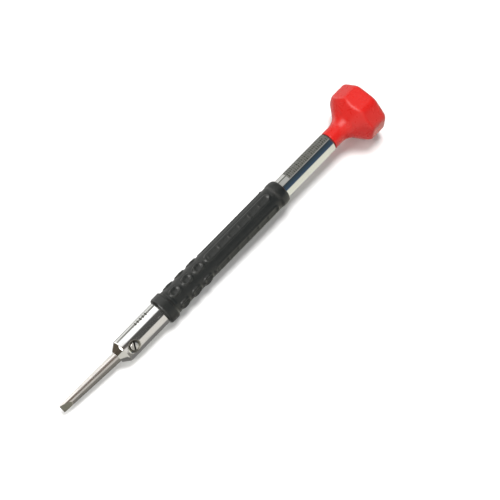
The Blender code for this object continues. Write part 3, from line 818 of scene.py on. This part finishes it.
def build_finger_dish(material):
    """Pressed-in disc with a shallow hollow for the fingertip and a softly rounded lip."""
    lip = 0.5 * MM
    sag = 1.1 * MM
    outermost = 0.97                  # share of the hollow's radius, the rest blends into the lip
    hollow_radius = DISH_RADIUS - lip
    hollow = [(DISH_BACK - sag * (1.0 - share * share), hollow_radius * share)
              for share in np.linspace(outermost, 0.0, 22)]
    rim = soften([(DISH_FRONT, 0.0, 0.0), (DISH_FRONT, DISH_RADIUS, 0.06 * MM),
                  (DISH_BACK, DISH_RADIUS, 0.14 * MM), (DISH_BACK, hollow_radius, 0.12 * MM),
                  (hollow[0][0], hollow[0][1], 0.0)])
    outline = rim + hollow[1:-1] + [(DISH_BACK - sag, 0.0)]
    finish_piece(make_object("red_finger_dish", revolve(outline)), material, "finger_dish")


# ---- carried-over CAD nodes ----
def finish_hidden_parts():
    """Bearing, bush, washers and screw keep their CAD shape and get worked finishes."""
    steel = worn_metal("bearing_steel_lapped")
    shield = worn_metal("shield_steel_pressed")
    brass = worn_metal("cage_brass_stamped")
    bronze = worn_metal("bush_bronze_sintered")
    screw = worn_metal("screw_steel_turned")
    finishes = {
        "bearing_outer_ring": steel, "bearing_inner_ring": steel, "bearing_cage": brass,
        "bearing_shield_front": shield, "bearing_shield_rear": shield, "neck_bush": bronze,
        "neck_washer": nylon_material(), "retaining_washer": screw, "retaining_screw": screw,
    }
    for name, node in frame["nodes"].items():
        if name.startswith("bearing_ball_"):
            finishes[name] = steel
        if name in finishes:
            node.data.materials[0] = finishes[name]


# ---- floor, light and camera ----
FLOOR_HALF = 1.5


def build_floor():
    """Sheet of white paper that the tool lies on. The studio's bands carry the reflections."""
    bm = bmesh.new()
    corners = [bm.verts.new((FLOOR_HALF * x, FLOOR_HALF * y, 0.0))
               for x, y in ((-1, -1), (1, -1), (1, 1), (-1, 1))]
    bm.faces.new(corners)
    floor = make_object("studio_floor", bm, Matrix.Identity(4))
    finish = Finish("studio_paper", (0.86, 0.86, 0.86), 0.85, specular=0.1)
    fibre = finish.noise(700.0, 3.0)
    finish.color(finish.mix(fibre, (0.84, 0.84, 0.84), (0.88, 0.88, 0.88)))
    floor.data.materials.append(finish.material)
    floor.visible_glossy = False


# Zones of the studio from the blade's end to the head's end, by the direction's x in the tool's
# frame. The bands in each zone are degrees from straight up towards -y, brightness and tint.
CONE_STUDIO = [
    (-180, 0.30, (1.0, 0.95, 0.85)), (-150, 0.18, (1.0, 0.86, 0.66)), (-125, 0.09, (1.0, 0.80, 0.60)),
    (8, 0.09, (1.0, 0.80, 0.60)), (18, 0.72, (1.0, 0.98, 0.90)), (110, 0.72, (1.0, 0.98, 0.90)),
    (150, 0.30, (1.0, 0.98, 0.94)), (180, 0.30, (1.0, 0.98, 0.94)),
]
FLARE_STUDIO = [
    (-180, 0.60, (1.0, 0.98, 0.95)), (-150, 0.80, (1.0, 0.98, 0.95)), (-128, 0.12, (1.0, 0.80, 0.60)),
    (-48, 0.12, (1.0, 0.80, 0.60)), (-34, 5.0, (1.0, 0.99, 0.97)), (-4, 5.0, (1.0, 0.99, 0.97)),
    (12, 0.30, (1.0, 0.98, 0.90)), (24, 0.72, (1.0, 0.98, 0.90)), (104, 0.72, (1.0, 0.98, 0.90)),
    (118, 0.16, (1.0, 0.98, 0.94)), (180, 0.22, (1.0, 0.98, 0.94)),
]
BLADE_STUDIO = [
    (-180, 0.45, (1.0, 1.0, 0.96)), (-150, 0.55, (1.0, 1.0, 0.98)), (-124, 0.60, (1.0, 1.0, 0.98)),
    (-114, 1.60, (1.0, 0.97, 0.95)), (-48, 1.60, (1.0, 0.97, 0.95)), (-32, 0.24, (1.0, 0.78, 0.66)),
    (6, 0.24, (1.0, 0.78, 0.66)), (24, 0.84, (1.0, 0.97, 0.92)), (46, 0.80, (1.0, 0.97, 0.92)),
    (66, 0.26, (1.0, 0.97, 0.88)), (150, 0.24, (1.0, 0.98, 0.92)), (180, 0.30, (1.0, 0.98, 0.96)),
]
NOSE_STUDIO = [
    (-180, 0.20, (1.0, 1.0, 0.96)), (-148, 0.34, (1.0, 1.0, 0.97)), (-98, 1.05, (1.0, 1.0, 0.98)),
    (-90, 0.22, (1.0, 1.0, 0.92)), (-74, 0.22, (1.0, 1.0, 0.92)), (-68, 1.5, (1.0, 1.0, 1.0)),
    (-20, 1.5, (1.0, 1.0, 1.0)), (-9, 0.10, (1.0, 1.0, 0.98)), (47, 0.07, (1.0, 1.0, 0.96)),
    (54, 0.82, (1.0, 0.96, 0.90)), (104, 0.80, (1.0, 0.96, 0.90)), (116, 0.22, (1.0, 0.98, 0.96)),
    (180, 0.20, (1.0, 0.98, 0.96)),
]
REAR_STUDIO = [
    (-180, 0.40, (1.0, 1.0, 0.96)), (-72, 0.80, (1.0, 1.0, 0.97)), (-68, 0.10, (1.0, 1.0, 0.85)),
    (-60, 0.10, (1.0, 1.0, 0.85)), (-52, 0.52, (1.0, 1.0, 0.96)), (-1, 0.52, (1.0, 1.0, 0.96)),
    (6, 0.05, (0.9, 0.95, 1.0)), (18, 0.08, (0.50, 0.80, 1.0)), (66, 0.15, (0.34, 0.58, 1.0)),
    (76, 0.86, (1.0, 1.0, 0.87)), (168, 0.86, (1.0, 1.0, 0.87)), (180, 0.5, (1.0, 1.0, 0.9)),
]
ZONES = [CONE_STUDIO, FLARE_STUDIO, BLADE_STUDIO, NOSE_STUDIO, REAR_STUDIO]
ZONE_EDGES = [(-0.88, -0.80), (-0.30, -0.22), (0.072, 0.084), (0.16, 0.24)]
ROOM_FILL = (0.45, 0.45, 0.44)    # how much of the studio matt surfaces get


def build_studio():
    """World of soft bands round the tool's axis, which change from zone to zone along it."""
    world = bpy.data.worlds.new("studio")
    bpy.context.scene.world = world
    world.use_nodes = True
    tree = world.node_tree

    def add(kind, **settings):
        node = tree.nodes.new("ShaderNode" + kind)
        for name, value in settings.items():
            setattr(node, name, value)
        return node

    def map_range(source, low, high, interpolation):
        node = add("MapRange", interpolation_type=interpolation)
        node.inputs["From Min"].default_value = low
        node.inputs["From Max"].default_value = high
        tree.links.new(source, node.inputs["Value"])
        return node.outputs["Result"]

    def blend(share, first, second):
        node = add("Mix", data_type="RGBA")
        tree.links.new(share, node.inputs["Factor"])
        tree.links.new(first, node.inputs[MIX_FIRST])
        tree.links.new(second, node.inputs[MIX_SECOND])
        return node.outputs[MIX_RESULT]

    def ramp(share, stops):
        node = add("ValToRGB")
        elements = node.color_ramp.elements
        while len(elements) < len(stops):
            elements.new(1.0)
        for element, (degrees, level, tint) in zip(elements, stops):
            element.position = 0.5 + degrees / 360.0
            element.color = (*(level * part for part in tint), 1.0)
        tree.links.new(share, node.inputs["Fac"])
        return node.outputs["Color"]

    turned = add("Mapping", vector_type="TEXTURE")
    turned.inputs["Rotation"].default_value = TOOL.to_euler()
    tree.links.new(add("TexCoord").outputs["Generated"], turned.inputs["Vector"])
    parts = add("SeparateXYZ")
    tree.links.new(turned.outputs["Vector"], parts.inputs[0])
    flip = add("Math", operation="MULTIPLY")
    flip.inputs[1].default_value = -1.0
    tree.links.new(parts.outputs["Y"], flip.inputs[0])
    turn = add("Math", operation="ARCTAN2")
    tree.links.new(flip.outputs[0], turn.inputs[0])
    tree.links.new(parts.outputs["Z"], turn.inputs[1])
    share = map_range(turn.outputs[0], -math.pi, math.pi, "LINEAR")
    room = ramp(share, ZONES[0])
    for (low, high), stops in zip(ZONE_EDGES, ZONES[1:]):
        room = blend(map_range(parts.outputs["X"], low, high, "SMOOTHSTEP"), room, ramp(share, stops))
    # matt surfaces get a dimmer room, so that the shadows stay deep
    dim = add("Mix", data_type="RGBA", blend_type="MULTIPLY")
    tree.links.new(add("LightPath").outputs["Is Diffuse Ray"], dim.inputs["Factor"])
    tree.links.new(room, dim.inputs[MIX_FIRST])
    dim.inputs[MIX_SECOND].default_value = (*ROOM_FILL, 1.0)
    room = dim.outputs[MIX_RESULT]
    # the camera itself sees plain white beyond the floor
    white = add("RGB")
    white.outputs[0].default_value = (1.0, 1.0, 1.0, 1.0)
    seen = blend(add("LightPath").outputs["Is Camera Ray"], room, white.outputs[0])
    tree.links.new(seen, tree.nodes["Background"].inputs["Color"])


# Broad key light overhead, towards the head's end, and a low fill in front of the blade:
# name, place, target, diameter and power.
SOFTBOXES = [
    ("overhead_key", (0.13, 0.08, 0.57), (0.0, 0.0, 0.0), 0.26, 3.9),
    ("blade_side_fill", (-0.16, -0.11, 0.12), (-0.045, 0.0, 0.0), 0.12, 0.22),
]


def build_softbox(name, location, target, size, energy):
    """Round area light aimed at a target and hidden from the camera and from mirror rays."""
    data = bpy.data.lights.new(name, "AREA")
    data.shape = "DISK"
    data.size = size
    data.energy = energy
    light = bpy.data.objects.new(name, data)
    bpy.context.scene.collection.objects.link(light)
    light.location = location
    light.rotation_euler = (Vector(target) - light.location).to_track_quat("-Z", "Y").to_euler()
    light.visible_camera = False
    light.visible_glossy = False


CAMERA_PLACE = (-0.0716, -0.0763, 0.2673)
CAMERA_TILT = math.radians(21.72)  # from straight down
CAMERA_HEADING = math.radians(-47.15)
LENS = 79.2                        # millimetres, as is the sensor's width
SENSOR_WIDTH = 36.0


def build_camera():
    """Camera that looks down on the tool from beyond the blade's end."""
    data = bpy.data.cameras.new("camera")
    data.lens = LENS
    data.sensor_width = SENSOR_WIDTH
    data.clip_start = 0.01
    camera = bpy.data.objects.new("camera", data)
    bpy.context.scene.collection.objects.link(camera)
    camera.location = CAMERA_PLACE
    camera.rotation_euler = (CAMERA_TILT, 0.0, CAMERA_HEADING)
    bpy.context.scene.camera = camera


def main():
    """Build the pieces in front of their studio, lights and camera."""
    build_barrel(chrome_material())
    build_grip(rubber_material())
    build_blade(worn_metal("blade_steel_ground"), worn_metal("blade_tip_ground"))
    build_clamp_screw(worn_metal("clamp_steel_turned"), worn_metal("clamp_slot_oiled"))
    red = red_material()
    build_head_shell(red)
    build_finger_dish(red)
    finish_hidden_parts()
    build_floor()
    build_studio()
    for softbox in SOFTBOXES:
        build_softbox(*softbox)
    build_camera()
    bpy.context.scene.view_settings.view_transform = "Standard"


main()
bpy.context.view_layer.update()
